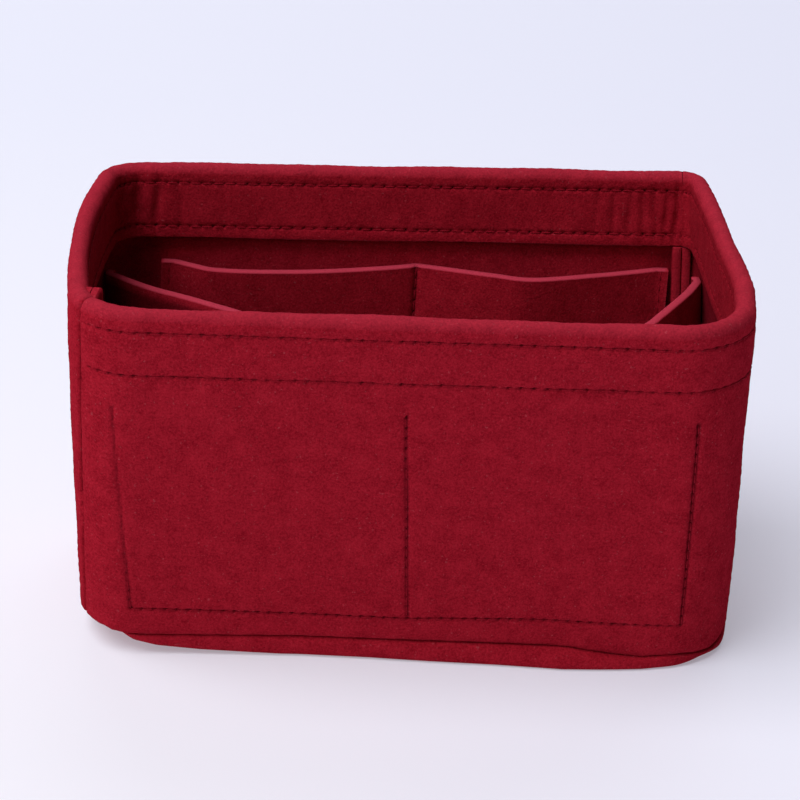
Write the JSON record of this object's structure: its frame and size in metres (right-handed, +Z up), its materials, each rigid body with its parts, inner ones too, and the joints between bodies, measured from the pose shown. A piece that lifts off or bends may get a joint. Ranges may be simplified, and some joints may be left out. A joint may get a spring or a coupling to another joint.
{
  "type": "purse organizer insert",
  "caption": "Open-topped felt purse organizer insert with sewn walls, a turned-up base and inside pockets.",
  "frame": {"origin": "on the surface that the insert stands on, under the middle of its outer box", "axes": "+X to the right along the long side, +Y from the front wall to the back wall, +Z up to the open rim"},
  "size_m": [0.2491, 0.1489, 0.15],
  "materials": {
    "felt": "matt pressed felt with a fine hairy surface",
    "thread": "dull spun sewing thread"
  },
  "bodies": {
    "root": {"front_and_right_wall": "felt", "back_and_left_wall": "felt", "base_panel": "felt", "front_pocket_panel": "felt", "back_pocket_panel": "felt", "left_pocket_panel": "felt", "right_pocket_panel": "felt", "hem_upper_needle_thread": "thread", "hem_upper_bobbin_thread": "thread", "hem_lower_needle_thread": "thread", "hem_lower_bobbin_thread": "thread", "front_pocket_needle_thread": "thread", "front_pocket_bobbin_thread": "thread", "back_pocket_needle_thread": "thread", "back_pocket_bobbin_thread": "thread", "left_pocket_needle_thread": "thread", "left_pocket_bobbin_thread": "thread", "right_pocket_needle_thread": "thread", "right_pocket_bobbin_thread": "thread", "front_divider_needle_thread": "thread", "front_divider_bobbin_thread": "thread", "back_divider_needle_thread": "thread", "back_divider_bobbin_thread": "thread", "front_left_seam_needle_thread": "thread", "back_right_seam_needle_thread": "thread", "back_right_seam_bobbin_thread": "thread", "base_seam_needle_thread": "thread", "base_seam_bobbin_thread": "thread"}
  },
  "joints": []
}
